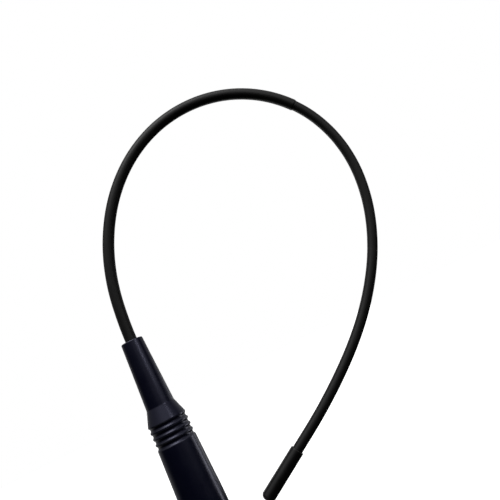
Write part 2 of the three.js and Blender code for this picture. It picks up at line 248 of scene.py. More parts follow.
def surroundings():
    """What the object mirrors: the radiance and the edges of each lit region round it."""
    above = Vector((0, 0, 1))
    below = -above
    cone_band = [(above, 0.01, 0.15), (below, -0.40, -0.20)]
    return {
        "sky": (0.38, [(above, 0.17, 0.36), (right_of(-130), 0.0, 0.5)]),
        "front window": (0.45, [*cone_band, (right_of(-25), 0.0, 0.5), (left_of(70), 0.0, 0.2)]),
        "bright pane": (0.80, [*cone_band, (right_of(18), 0.0, 0.3), (left_of(66), 0.0, 0.1)]),
        "right window": (0.45, [
            (above, -0.16, 0.06), (right_of(88), 0.0, 0.3), (left_of(160), 0.0, 0.3)]),
        "lamp over the camera's view": (0.60, [(towards(-0.25, 1.0, 0.1), 0.40, 0.95)]),
        "dim table": (0.06, [(below, 0.05, 0.30), (right_of(25), 0.0, 0.4), (left_of(110), 0.0, 0.4)]),
        "back wall": (0.40, [(round_boot(200, 0), 0.50, 0.95)]),
        "everywhere": (0.003, [(above, -2.0, -1.5)]),
    }


def make_world():
    """White where the camera looks past the object, and the lit regions for everything else."""
    world = bpy.data.worlds.new("studio")
    bpy.context.scene.world = world
    world.use_nodes = True
    nodes, links = world.node_tree.nodes, world.node_tree.links
    nodes.clear()
    direction = nodes.new("ShaderNodeTexCoord").outputs["Generated"]
    total = None
    for radiance, edges in surroundings().values():
        region = glow(nodes, links, direction, radiance, edges)
        total = region if total is None else combined(nodes, links, "ADD", total, region)
    lit = nodes.new("ShaderNodeBackground")
    links.new(total, lit.inputs["Strength"])
    backdrop = nodes.new("ShaderNodeBackground")
    backdrop.inputs["Color"].default_value = (1, 1, 1, 1)
    choose = nodes.new("ShaderNodeMixShader")
    links.new(nodes.new("ShaderNodeLightPath").outputs["Is Camera Ray"], choose.inputs["Fac"])
    links.new(lit.outputs[0], choose.inputs[1])
    links.new(backdrop.outputs[0], choose.inputs[2])
    links.new(choose.outputs[0], nodes.new("ShaderNodeOutputWorld").inputs["Surface"])


def make_floor():
    """Pale glowing paper with painted shade: its glow is dimmer close to the boot, round where the contact
    shadow falls.
    """
    half = FLOOR_HALF
    level = CAD_BOX[0].z - FLOOR_GAP
    mesh = bpy.data.meshes.new("floor")
    corners = [(x * half, y * half, level) for x, y in ((-1, -1), (1, -1), (1, 1), (-1, 1))]
    mesh.from_pydata(corners, [], [(0, 1, 2, 3)])
    floor = bpy.data.objects.new("floor", mesh)
    bpy.context.scene.collection.objects.link(floor)
    paper = Surface("floor_paper", (0.8, 0.8, 0.8), roughness=0.9)
    paper.shader.inputs["Emission Color"].default_value = (1, 1, 1, 1)
    reach = paper.nodes.new("ShaderNodeVectorMath")
    reach.operation = "LENGTH"
    paper.links.new(paper.place, reach.inputs[0])
    # Painted shade: the paper's glow is lower near the boot, so a darker ring round the object is painted
    # into the floor.
    shade = paper.remap(
        reach.outputs["Value"], SHADOW_START, SHADOW_END, FLOOR_GLOW_NEAR, FLOOR_GLOW_FAR)
    paper.links.new(shade, paper.shader.inputs["Emission Strength"])
    mesh.materials.append(paper.material)
    floor.visible_glossy = False
    floor.visible_diffuse = False


# ---------------------------------------------------------------- material building

class Surface:
    """A material being built: its principled shader, and the procedural detail put on it."""

    def __init__(self, name, colour, roughness=0.5, metallic=0.0, coordinates="object"):
        self.material = bpy.data.materials.new(name)
        self.material.use_nodes = True
        self.nodes = self.material.node_tree.nodes
        self.links = self.material.node_tree.links
        self.shader = self.nodes["Principled BSDF"]
        self.shader.inputs["Base Color"].default_value = (*colour, 1)
        self.shader.inputs["Roughness"].default_value = roughness
        self.shader.inputs["Metallic"].default_value = metallic
        if coordinates == "object":
            self.place = self.nodes.new("ShaderNodeTexCoord").outputs["Object"]
        else:
            self.place = self.attribute(coordinates).outputs["Vector"]

    def attribute(self, name):
        node = self.nodes.new("ShaderNodeAttribute")
        node.attribute_name = name
        return node

    def stretched(self, factors):
        """The coordinates, scaled along each axis, for grain that runs one way."""
        node = self.nodes.new("ShaderNodeVectorMath")
        node.operation = "MULTIPLY"
        node.inputs[1].default_value = factors
        self.links.new(self.place, node.inputs[0])
        return node.outputs["Vector"]

    def noise(self, grain, detail=2.0, place=None):
        """Noise whose grain is about that many metres across."""
        node = self.nodes.new("ShaderNodeTexNoise")
        node.inputs["Scale"].default_value = 1 / grain
        node.inputs["Detail"].default_value = detail
        self.links.new(place or self.place, node.inputs["Vector"])
        return node.outputs["Fac"]

    def remap(self, value, low, high, to_low=0.0, to_high=1.0):
        """The value, stretched from low..high to to_low..to_high."""
        node = self.nodes.new("ShaderNodeMapRange")
        node.inputs["From Min"].default_value = low
        node.inputs["From Max"].default_value = high
        node.inputs["To Min"].default_value = to_low
        node.inputs["To Max"].default_value = to_high
        self.links.new(value, node.inputs["Value"])
        return node.outputs["Result"]

    def maths(self, operation, first, second):
        """Two values put together. Each is a number or a socket."""
        node = self.nodes.new("ShaderNodeMath")
        node.operation = operation
        for socket, value in zip(node.inputs, (first, second)):
            if isinstance(value, (int, float)):
                socket.default_value = value
            else:
                self.links.new(value, socket)
        return node.outputs["Value"]

    def tint(self, factor, colour):
        """Mixes a second colour over the present one where factor is high.

        A colour mix takes its two colours on inputs 6 and 7 and gives the mix on output 2.
        """
        node = self.nodes.new("ShaderNodeMix")
        node.data_type = "RGBA"
        base = self.shader.inputs["Base Color"]
        first, second = node.inputs[6], node.inputs[7]
        if base.is_linked:
            self.links.new(base.links[0].from_socket, first)
        else:
            first.default_value = base.default_value
        second.default_value = (*colour, 1)
        self.links.new(factor, node.inputs["Factor"])
        self.links.new(node.outputs[2], base)

    def wear_and_highlight_edges(self, patches, strength, colour):
        """Tints the piece's edges where its patches are high: wear, and on the boot also a painted
        highlight.
        """
        # The edge tint is wear, and on the boot it is also a painted highlight.
        rubbed = self.maths("MULTIPLY", self.attribute("edge").outputs["Fac"], patches)
        self.tint(self.maths("MULTIPLY", rubbed, strength), colour)

    def roughness(self, value):
        self.links.new(value, self.shader.inputs["Roughness"])

    def uneven_roughness(self, clouds, low, high, marks, depth):
        """Roughness from low to high with the clouds, and up to depth more with the marks."""
        sheen = self.remap(clouds, 0.3, 0.7, low, high)
        self.roughness(self.maths("ADD", sheen, self.maths("MULTIPLY", marks, depth)))

    def bump(self, height, depth, strength=1.0):
        """Adds relief: height is 0 to 1, and depth is how many metres 1 stands for."""
        node = self.nodes.new("ShaderNodeBump")
        node.inputs["Distance"].default_value = depth
        node.inputs["Strength"].default_value = strength
        self.links.new(height, node.inputs["Height"])
        normal = self.shader.inputs["Normal"]
        if normal.is_linked:
            self.links.new(normal.links[0].from_socket, node.inputs["Normal"])
        self.links.new(node.outputs["Normal"], normal)


def boot_material():
    """Blue-black moulded elastomer with a fine spark-eroded texture; its edges are tinted paler, partly
    wear and partly a painted highlight.
    """
    boot = Surface("boot_elastomer", (0.0022, 0.0026, 0.0110), coordinates="flow")
    boot.shader.inputs["Specular Tint"].default_value = (0.72, 0.73, 1.0, 1)
    clouds = boot.noise(5 * MM, detail=3)
    fine = boot.noise(0.35 * MM, detail=2)
    boot.tint(boot.remap(clouds, 0.35, 0.75, 0, 0.5), (0.0034, 0.0040, 0.0125))
    # Painted highlight: the paler tint on the rim, rib and shoulder edges stands in for thin light lines
    # along them, as well as wear.
    boot.wear_and_highlight_edges(boot.remap(clouds, 0.3, 0.7), 0.8, (0.050, 0.051, 0.062))
    boot.uneven_roughness(clouds, 0.24, 0.30, fine, 0.06)
    boot.bump(boot.noise(1.4 * MM, detail=1), 0.008 * MM)
    boot.bump(fine, 0.006 * MM)
    return boot.material


def cover_material():
    """Black extruded cover: faint draw lines along it, a satin skin and a few dull patches."""
    cover = Surface("whip_cover_black", (0.0030, 0.0027, 0.0026), coordinates="flow")
    lines = cover.noise(0.5 * MM, detail=2, place=cover.stretched((1, 1, 0.03)))
    patches = cover.noise(6 * MM, detail=3)
    cover.tint(cover.remap(patches, 0.45, 0.8, 0, 0.6), (0.0075, 0.0070, 0.0066))
    cover.wear_and_highlight_edges(cover.remap(patches, 0.3, 0.6), 0.5, (0.030, 0.029, 0.028))
    cover.uneven_roughness(patches, 0.40, 0.48, lines, 0.06)
    cover.bump(lines, 0.010 * MM)
    cover.bump(cover.noise(0.4 * MM, detail=2), 0.006 * MM)
    return cover.material


def tip_material():
    """Black plastic, a little shinier than the whip's cover and rubbed at its edges."""
    tip = Surface("tip_cap_black", (0.0042, 0.0038, 0.0038), coordinates="flow")
    patches = tip.noise(3 * MM, detail=3)
    tip.wear_and_highlight_edges(tip.remap(patches, 0.3, 0.6), 0.6, (0.034, 0.033, 0.032))
    tip.roughness(tip.remap(patches, 0.3, 0.7, 0.32, 0.40))
    tip.bump(tip.noise(0.4 * MM, detail=2), 0.006 * MM)
    return tip.material


def metal_material(name, colour, stained, roughness, grain=(1, 1, 12)):
    """Turned or drawn metal: fine tool marks along the grain, and slight clouding."""
    metal = Surface(name, colour, metallic=1.0)
    rings = metal.noise(0.6 * MM, detail=2, place=metal.stretched(grain))
    clouds = metal.noise(4 * MM, detail=3)
    metal.tint(metal.remap(clouds, 0.5, 0.8, 0, 0.45), stained)
    metal.uneven_roughness(clouds, roughness - 0.04, roughness + 0.06, rings, 0.08)
    metal.bump(rings, 0.002 * MM)
    return metal.material


def plain_moulding(name, colour, second, roughness, grain=2 * MM):
    """A moulded or sintered part: cloudy colour, uneven sheen and a fine skin."""
    moulding = Surface(name, colour)
    clouds = moulding.noise(grain, detail=3)
    moulding.tint(moulding.remap(clouds, 0.35, 0.75), second)
    moulding.roughness(moulding.remap(clouds, 0.3, 0.7, roughness - 0.05, roughness + 0.08))
    moulding.bump(moulding.noise(grain / 6, detail=2), 0.006 * MM)
    return moulding.material


MATERIALS = {
    "boot": boot_material(),
    "whip_cover": cover_material(),
    "tip_plastic": tip_material(),
    "nickel_plate": metal_material(
        "nickel_plating", (0.64, 0.62, 0.58), stained=(0.50, 0.48, 0.43), roughness=0.24),
    "gold_plate": metal_material(
        "gold_plating", (0.83, 0.60, 0.25), stained=(0.70, 0.47, 0.18), roughness=0.22),
    "spring_steel": metal_material(
        "spring_steel", (0.50, 0.51, 0.52), stained=(0.36, 0.36, 0.37), roughness=0.30),
    "core_steel": metal_material(
        "core_steel", (0.42, 0.43, 0.44), stained=(0.30, 0.30, 0.31), roughness=0.34, grain=(1, 1, 0.1)),
    "enamelled_wire": metal_material(
        "enamelled_copper", (0.72, 0.30, 0.12), stained=(0.55, 0.20, 0.08), roughness=0.26),
    "white_insulation": plain_moulding(
        "ptfe_white", (0.84, 0.83, 0.79), second=(0.78, 0.76, 0.71), roughness=0.42),
    "former_nylon": plain_moulding(
        "natural_nylon", (0.66, 0.60, 0.47), second=(0.58, 0.52, 0.39), roughness=0.48),
    "seal_rubber": plain_moulding(
        "silicone_rubber", (0.24, 0.045, 0.028), second=(0.18, 0.035, 0.024), roughness=0.62),
    "capacitor_ceramic": plain_moulding(
        "ceramic_disc", (0.44, 0.22, 0.07), second=(0.36, 0.17, 0.05), roughness=0.40, grain=0.8 * MM),
}

# ---------------------------------------------------------------- shapes

SQUARE = 0
# Tight outer arcs narrower than this get the edge value, for wear and, on the boot, a painted highlight.
WIDEST_WEAR_AND_HIGHLIGHT_EDGE = 5 * MM
SUPPORT_GAP = 0.1 * MM
SHORTEST_DIVIDED_SIDE = 0.3 * MM


def rounded(corners, closed=True, longest=1.5 * MM, steps=5):
    """Profile points (radius, height, edge) from corners (radius, height, fillet).

    The corners run anticlockwise round the section. Each fillet becomes an arc of some steps, and
    sides are divided into pieces no longer than longest. Edge is up to 1 on the tight outer arcs,
    which carry wear and, on the boot, a painted highlight; it is 0 elsewhere.
    """
    count = len(corners)
    arcs = []
    for i, (r, z, fillet) in enumerate(corners):
        here = np.array((r, z))
        inner = closed or 0 < i < count - 1
        if not inner or fillet <= 0:
            arcs.append([(r, z, 0.0)])
            continue
        to_last = np.array(corners[i - 1][:2]) - here
        to_next = np.array(corners[(i + 1) % count][:2]) - here
        a = to_last / np.linalg.norm(to_last)
        b = to_next / np.linalg.norm(to_next)
        half = math.acos(max(-1, min(1, float(a @ b)))) / 2
        wear_and_highlight_arc = a[0] * b[1] - a[1] * b[0] < 0 and fillet < WIDEST_WEAR_AND_HIGHLIGHT_EDGE
        centre = here + (a + b) / np.linalg.norm(a + b) * fillet / math.sin(half)
        first = here + a * fillet / math.tan(half) - centre
        last = here + b * fillet / math.tan(half) - centre
        sweep = math.pi - 2 * half
        arc = []
        for k in range(steps + 1):
            share = k / steps
            arm = math.sin((1 - share) * sweep) * first + math.sin(share * sweep) * last
            edge = math.sin(math.pi * (0.15 + 0.7 * share)) if wear_and_highlight_arc else 0.0
            arc.append((*map(float, centre + arm / math.sin(sweep)), edge))
        arcs.append(arc)
    points = []
    for i, arc in enumerate(arcs):
        points += arc
        if i == count - 1 and not closed:
            break
        start, end = np.array(arc[-1][:2]), np.array(arcs[(i + 1) % count][0][:2])
        length = np.linalg.norm(end - start)
        if length < SHORTEST_DIVIDED_SIDE:
            continue
        support = SUPPORT_GAP / length
        pieces = max(1, math.ceil(length / longest))
        shares = [support] + [k / pieces for k in range(1, pieces)] + [1 - support]
        points += [(*map(float, start + share * (end - start)), 0.0) for share in shares]
    return points


def upright(height):
    """The frame of a straight piece: its centre at that height, and two directions across."""
    return Vector((0, 0, height)), Vector((1, 0, 0)), Vector((0, 1, 0))


def even_angles(sides):
    """The angles of a regular outline's corners."""
    return [2 * math.pi * i / sides for i in range(sides)]


def turned(name, profile, axis=upright, angles=None, relief=None, closed=True, crease=40):
    """Turns a profile about an axis, which may be bent.

    relief(radius, height, angle), where there is one, gives the radius there. Two attributes are
    kept at each point: flow, its place if the axis were straight, and edge.
    """
    angles = angles or even_angles(ROUND_SIDES)
    sides = len(angles)
    places, flows, edges, rings = [], [], [], []
    for radius, height, edge in profile:
        centre, across, other = axis(height)
        pole = radius < TINY
        ring = []
        for angle in angles[:1] if pole else angles:
            r = relief(radius, height, angle) if relief else radius
            x, y = r * math.cos(angle), r * math.sin(angle)
            ring.append(len(places))
            places.append(centre + x * across + y * other)
            flows.append((x, y, height))
            edges.append(edge)
        rings.append(ring * sides if pole else ring)
    faces = []
    for i in range(len(rings) if closed else len(rings) - 1):
        low, high = rings[i], rings[(i + 1) % len(rings)]
        for j in range(sides):
            k = (j + 1) % sides
            face = [low[j], low[k], high[k], high[j]]
            faces.append(list(dict.fromkeys(face)))
    faces = [face for face in faces if len(face) > 2]
    return build(name, places, faces, {"flow": flows, "edge": edges}, crease)


def build(name, places, faces, attributes, crease):
    """A piece from its points and faces, with an attribute's value at each point."""
    mesh = bpy.data.meshes.new(name)
    mesh.from_pydata(places, [], faces)
    for key, values in attributes.items():
        kind, field = ("FLOAT_VECTOR", "vector") if key == "flow" else ("FLOAT", "value")
        layer = mesh.attributes.new(key, kind, "POINT")
        layer.data.foreach_set(field, np.array(values, np.float32).ravel())
    smooth(mesh, crease)
    piece = bpy.data.objects.new(name, mesh)
    bpy.context.scene.collection.objects.link(piece)
    return piece


def smooth(mesh, crease):
    """Smooth shading, with a sharp edge wherever the faces turn by more than the crease angle."""
    mesh.shade_smooth()
    mesh.set_sharp_from_angle(angle=math.radians(crease))


def cut(piece, *cutters, crease=35):
    """Takes the cutters out of the piece."""
    for cutter in cutters:
        step = piece.modifiers.new("cut", "BOOLEAN")
        step.object = cutter
        step.operation = "DIFFERENCE"
        step.solver = "EXACT"
    bpy.context.view_layer.update()
    shaped = piece.evaluated_get(bpy.context.evaluated_depsgraph_get())
    mesh = bpy.data.meshes.new_from_object(shaped)
    piece.modifiers.clear()
    piece.data = mesh
    smooth(mesh, crease)
    for cutter in cutters:
        bpy.data.objects.remove(cutter)
    return piece


def dress(piece, slot, body=None):
    """Gives a piece its material slot and, if it's rigid, the body that it rides."""
    piece.data.materials.clear()
    piece.data.materials.append(MATERIALS[slot])
    if body:
        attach(piece, body)
    return piece


# ---------------------------------------------------------------- boot

BOOT_LOW, BOOT_HIGH = (corner.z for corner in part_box("base_boot"))
BOOT_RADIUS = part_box("base_boot")[1].x
BODY_TOP_RADIUS = 6.38 * MM
BODY_TAPER_START = 25 * MM
BODY_TAPER_END = 44.6 * MM
BODY_TAPER_FILLET = 200 * MM
RIB_RADIUS = 6.30 * MM
GROOVE_CENTRES = [45.5 * MM, 47.35 * MM, 49.25 * MM, 51.2 * MM]
GROOVE_FLOOR = 5.9 * MM
GROOVE_HALF_FLOOR = 0.22 * MM
GROOVE_HALF_MOUTH = 0.72 * MM
GROOVE_FILLET = 0.22 * MM
SHOULDER = 52.3 * MM
CONE_START = 57 * MM
CONE_RADIUS = 4.60 * MM
RIM_RADIUS = 3.56 * MM
WHIP_BORE = 1.95 * MM
WHIP_BORE_LOW = 58 * MM
NECK_BORE = 2.9 * MM
NECK_LOW, NECK_HIGH = 48 * MM, 57 * MM
CAVITY_RADIUS = 4.8 * MM
CAVITY_HIGH = 47 * MM
RECESS_RADIUS = 6.3 * MM
RECESS_HIGH = 16.1 * MM
BASE_FILLET = 0.5 * MM
BODY_TOP_FILLET = 0.15 * MM
SHOULDER_FILLET = 0.12 * MM
CONE_FILLET = 1.5 * MM
RIM_FILLET = 0.3 * MM
MOUTH_FILLET = 0.25 * MM
INNER_FILLET = 0.1 * MM
BOOT_SIDES = 128


def boot_corners():
    """The boot's section: up the outside over the grooves, and down the inside to the plug's recess."""
    corners = [
        (RECESS_RADIUS, BOOT_LOW, INNER_FILLET),
        (BOOT_RADIUS, BOOT_LOW, BASE_FILLET),
        (BOOT_RADIUS, BODY_TAPER_START, BODY_TAPER_FILLET),
        (BODY_TOP_RADIUS, BODY_TAPER_END, BODY_TOP_FILLET),
    ]
    for z in GROOVE_CENTRES:
        corners += [
            (RIB_RADIUS, z - GROOVE_HALF_MOUTH, GROOVE_FILLET),
            (GROOVE_FLOOR, z - GROOVE_HALF_FLOOR, GROOVE_FILLET),
            (GROOVE_FLOOR, z + GROOVE_HALF_FLOOR, GROOVE_FILLET),
            (RIB_RADIUS, z + GROOVE_HALF_MOUTH, GROOVE_FILLET),
        ]
    return corners + [
        (RIB_RADIUS, SHOULDER, SHOULDER_FILLET),
        (CONE_RADIUS, CONE_START, CONE_FILLET),
        (RIM_RADIUS, BOOT_HIGH, RIM_FILLET),
        (WHIP_BORE, BOOT_HIGH, MOUTH_FILLET),
        (WHIP_BORE, WHIP_BORE_LOW, INNER_FILLET),
        (NECK_BORE, NECK_HIGH, INNER_FILLET),
        (NECK_BORE, NECK_LOW, INNER_FILLET),
        (CAVITY_RADIUS, CAVITY_HIGH, INNER_FILLET),
        (CAVITY_RADIUS, RECESS_HIGH, INNER_FILLET),
        (RECESS_RADIUS, RECESS_HIGH, INNER_FILLET),
    ]


def make_boot():
    """The moulding, one turned shell from the plug's recess to the mouth that grips the whip."""
    boot = turned("boot_moulding", rounded(boot_corners()), angles=even_angles(BOOT_SIDES))
    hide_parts("base_boot")
    return dress(boot, "boot", "boot")


# ---------------------------------------------------------------- whip

HINGES = [joint for joint in frame["joints"] if joint["name"].startswith("whip_bend")]
HINGE_PLACES = [Vector(joint["pos_m"]) for joint in HINGES]
BENDS = [math.radians(joint["range_deg"][1]) for joint in HINGES]
SLEEVE_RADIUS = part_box("root_sleeve")[1].x
SLEEVE_STRETCHES = 10
SLEEVE_END_LENGTH = 7.4 * MM
SLEEVE_END_BEVEL = 0.4 * MM
SLEEVE_END_FILLET = 0.8 * MM
SLEEVE_END_LIP = 0.02 * MM
JACKET_RADIUS = 1.7 * MM
COVER_BORE = 0.7 * MM
CORE_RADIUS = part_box("root_core")[1].x
CORE_SIDES = 16
RING_SPACING = 0.9 * MM
ROOT_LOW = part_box("root_sleeve")[0].z
TIP_LENGTH = 36 * MM
CAP_LENGTH = 17.6 * MM
CAP_RADIUS = 2.15 * MM
CAP_MOUTH_FILLET = 0.25 * MM
CAP_END_FILLET = 1.5 * MM
CAP_SOCKET_DEPTH = 8.5 * MM
CAP_CORE_HOLE_DEPTH = 12.5 * MM
WHIP_IN_CAP = 8 * MM


class Stretch:
    """The part of the whip's line from halfway before a hinge to halfway past it."""

    def __init__(self, start, hinge, end, low, high):
        self.start, self.hinge, self.end = start, hinge, end
        self.low, self.high = low, high

    def frame(self, along):
        """The line's centre and two directions across it, at a distance from the boot's top."""
        t = (along - self.low) / (self.high - self.low)
        inside = max(0.0, min(1.0, t))
        rise = 2 * (1 - inside) * (self.hinge - self.start) + 2 * inside * (self.end - self.hinge)
        centre = (1 - inside) ** 2 * self.start
        centre += 2 * inside * (1 - inside) * self.hinge + inside ** 2 * self.end
        tangent = rise.normalized()
        centre += (t - inside) * (self.high - self.low) * tangent
        return centre, Vector((tangent.z, 0, -tangent.x)), Vector((0, 1, 0))


def whip_stretches():
    """One stretch for each hinge, which meet halfway between their hinges."""
    boot_top = Vector((0, 0, BOOT_HIGH))
    last = HINGE_PLACES[-1]
    heading = sum(BENDS)
    reach = (last - HINGE_PLACES[-2]).length / 2
    meeting = [(a + b) / 2 for a, b in zip(HINGE_PLACES, HINGE_PLACES[1:])]
    ends = [boot_top] + meeting + [last + reach * Vector((math.sin(heading), 0, math.cos(heading)))]
    stretches = []
    low = 0.0
    for start, hinge, end in zip(ends, HINGE_PLACES, ends[1:]):
        high = low + (hinge - start).length + (end - hinge).length
        stretches.append(Stretch(start, hinge, end, low, high))
        low = high
    return stretches


STRETCHES = whip_stretches()
BODIES = ["boot"] + [joint["child"] for joint in HINGES]


def cap_mouth():
    """How far along the whip's line the tip cap starts."""
    last = STRETCHES[-1]
    return last.high + TIP_LENGTH - CAP_LENGTH - (last.end - last.hinge).length


def bent_with(piece, slot, replaced):
    """Dresses a length of the whip, bakes its place into its points and hides the parts that it replaces.
    """
    dress(piece, slot)
    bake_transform(piece)
    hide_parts(*replaced)


def make_cover(name, corners, index, replaced):
    """A length of the whip's covering, turned about one stretch of the whip's line."""
    profile = rounded(corners, longest=RING_SPACING)
    piece = turned(name, profile, axis=STRETCHES[index].frame, angles=even_angles(WHIP_SIDES))
    bent_with(piece, "whip_cover", replaced)


def make_core(name, low, high, index, replaced):
    """A length of the whip's solid core wire, turned about one stretch of the whip's line."""
    corners = [
        (0, low, SQUARE),
        (CORE_RADIUS, low, SQUARE),
        (CORE_RADIUS, high, SQUARE),
        (0, high, SQUARE),
    ]
    profile = rounded(corners, closed=False, longest=RING_SPACING)
    piece = turned(name, profile, axis=STRETCHES[index].frame, angles=even_angles(CORE_SIDES),
                   closed=False)
    bent_with(piece, "core_steel", replaced)


def make_whip():
    """A length of cover and of core in each stretch, which meet in one smooth line."""
    for index, stretch in enumerate(STRETCHES):
        number = f"{index + 1:02d}"
        first = index == 0
        low = ROOT_LOW - BOOT_HIGH if first else stretch.low
        high = cap_mouth() + WHIP_IN_CAP if stretch is STRETCHES[-1] else stretch.high
        in_sleeve = index < SLEEVE_STRETCHES
        kind, radius = ("sleeve", SLEEVE_RADIUS) if in_sleeve else ("jacket", JACKET_RADIUS)
        corners = [
            (COVER_BORE, low, SQUARE),
            (radius, low, SQUARE),
            (radius, high, SQUARE),
            (COVER_BORE, high, SQUARE),
        ]
        cover_nodes = [f"whip_{kind}_{number}"] + (["root_sleeve"] if first else [])
        make_cover(f"{kind}_curve_{number}", corners, index, cover_nodes)
        core_nodes = [f"core_wire_{number}"] + (["root_core"] if first else [])
        make_core(f"core_curve_{number}", low, high, index, core_nodes)


def make_sleeve_end():
    """The sleeve's last bit, which tapers onto the jacket in the first of the jacket's stretches."""
    low = STRETCHES[SLEEVE_STRETCHES].low
    high = low + SLEEVE_END_LENGTH
    corners = [
        (JACKET_RADIUS, low, SQUARE),
        (SLEEVE_RADIUS, low, SQUARE),
        (SLEEVE_RADIUS, high - SLEEVE_END_BEVEL, SLEEVE_END_FILLET),
        (JACKET_RADIUS + SLEEVE_END_LIP, high, SQUARE),
        (JACKET_RADIUS, high, SQUARE),
    ]
    make_cover("sleeve_end", corners, SLEEVE_STRETCHES, [])


def make_tip_cap():
    """A round-ended cap over the whip's tip, with a socket for the jacket and a hole for the core."""
    mouth = cap_mouth()
    top = mouth + CAP_LENGTH
    corners = [
        (JACKET_RADIUS, mouth, INNER_FILLET),
        (CAP_RADIUS, mouth, CAP_MOUTH_FILLET),
        (CAP_RADIUS, top, CAP_END_FILLET),
        (0, top, SQUARE),
        (0, mouth + CAP_CORE_HOLE_DEPTH, SQUARE),
        (CORE_RADIUS, mouth + CAP_CORE_HOLE_DEPTH, SQUARE),
        (CORE_RADIUS, mouth + CAP_SOCKET_DEPTH, SQUARE),
        (JACKET_RADIUS, mouth + CAP_SOCKET_DEPTH, SQUARE),
    ]
    cap = turned("tip_cap_moulding", rounded(corners, steps=8), axis=STRETCHES[-1].frame,
                 angles=even_angles(WHIP_SIDES))
    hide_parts("tip_cap")
    dress(cap, "tip_plastic", BODIES[-1])


# ---------------------------------------------------------------- plug

COLLAR_LOW, COLLAR_HIGH = (corner.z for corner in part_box("coupling_collar"))
COLLAR_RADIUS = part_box("coupling_collar")[1].x
FITTED_FILLET = 0.08 * MM
TURNED_FILLET = 0.2 * MM
HANDLED_FILLET = 0.35 * MM
SLICE = 0.8 * MM
FINE_SLICE = 0.4 * MM

COLLAR_BORE = 4.9 * MM
COLLAR_LIP_BORE, COLLAR_LIP_HIGH = 5.2 * MM, 0.35 * MM
COLLAR_LIP_FILLET = 0.05 * MM
COLLAR_WEB_BORE = 4.5 * MM
COLLAR_WEB_LOW, COLLAR_WEB_HIGH = 10.45 * MM, 11.4 * MM
SPRING_ROOM_RADIUS, SPRING_ROOM_LOW = 6.15 * MM, 7.2 * MM
COLLAR_REAR_BORE = 6.35 * MM
COLLAR_SIDES = 256
GRIP_LOW, GRIP_HIGH = 7.9 * MM, 12.9 * MM
GRIP_RUN_OUT = 0.4 * MM
GRIP_DEPTH = 0.32 * MM
GRIP_FLUTES = 32
RING_GROOVE = 6.95 * MM
RING_GROOVE_DEPTH = 0.35 * MM
RING_GROOVE_FILLET = 0.15 * MM

CHANNEL_RADIUS = 6.1 * MM
CHANNEL_START = math.radians(-15)
CHANNEL_ENTRY_END = math.radians(15)
CHANNEL_END = math.radians(75)
CHANNEL_LOW, CHANNEL_HIGH = 1.6 * MM, 4 * MM
CHANNEL_RISE = 2.2 * MM
DETENT_ANGLE = math.radians(67)
DETENT_RADIUS = 1.3 * MM
DETENT_SIDES = 40
OVERCUT = 1 * MM

CONNECTOR_LOW, CONNECTOR_HIGH = 6.4 * MM, 25 * MM
CONNECTOR_LIP_RADIUS, CONNECTOR_LIP_HIGH = 4.75 * MM, 7.2 * MM
CONNECTOR_NECK_RADIUS = 4.3 * MM
FLANGE_RADIUS = 6.1 * MM
FLANGE_LOW, FLANGE_HIGH = 11.6 * MM, 14.6 * MM
CONNECTOR_TAIL_RADIUS = 4.5 * MM
CONTACT_SEAT_BORE, CONTACT_SEAT_HIGH = 3.7 * MM, 9.6 * MM
INSULATOR_SEAT_BORE = 3.1 * MM

FINGER_BORE, FINGER_RADIUS = 3.35 * MM, 4.05 * MM
FINGER_LOW, FINGER_HIGH = 1.4 * MM, 6.2 * MM
FINGER_BORE_HIGH = 5.85 * MM
FINGER_LEAD_FILLET = 0.3 * MM
CONTACT_ROOT_BORE, CONTACT_ROOT_RADIUS = 2.95 * MM, 3.6 * MM
CONTACT_ROOT_HIGH = 9.5 * MM
SLOT_ANGLES = (45, 135)
SLOT_WIDTH = 0.5 * MM
SLOT_HIGH = 5.2 * MM
SLOT_LENGTH = 16 * MM

INSULATOR_BORE = 0.8 * MM
INSULATOR_LOW, INSULATOR_HIGH = 3.2 * MM, 20.8 * MM
INSULATOR_NOSE_RADIUS, INSULATOR_NOSE_HIGH = 2.6 * MM, 9.75 * MM
INSULATOR_RADIUS = 2.95 * MM
PIN_LOW, PIN_HIGH = 0.8 * MM, 31 * MM
PIN_TIP_RADIUS, PIN_TIP_HIGH = 0.42 * MM, 1.6 * MM
PIN_RADIUS = 0.675 * MM
PIN_NOSE_FILLET = 0.4 * MM
PIN_CUP_RADIUS, PIN_CUP_LOW = 1 * MM, 24.2 * MM

WASHER_SIDES = 144
WASHER_FILLET = 0.05 * MM
WASHER_SLICE = 0.5 * MM
RING_BORE = 4.6 * MM
RING_GAP = math.radians(16)
SPRING_THICKNESS = 0.3 * MM
SPRING_WAVES = 3

GASKET_BORE, GASKET_RADIUS = 4.15 * MM, 4.7 * MM
GASKET_LOW, GASKET_HIGH = 5.6 * MM, 6.3 * MM
GASKET_FILLET = 0.12 * MM
SEAL_SECTION_SIDES = 24


def flutes(radius, height, angle):
    """The radius of the collar's outer wall, with straight finger flutes round its rear half."""
    if radius < COLLAR_RADIUS - GRIP_DEPTH:
        return radius
    inside = min(height - GRIP_LOW, GRIP_HIGH - height) / GRIP_RUN_OUT
    inside = max(0.0, min(1.0, inside))
    return radius - inside * GRIP_DEPTH * (0.5 - 0.5 * math.cos(GRIP_FLUTES * angle))


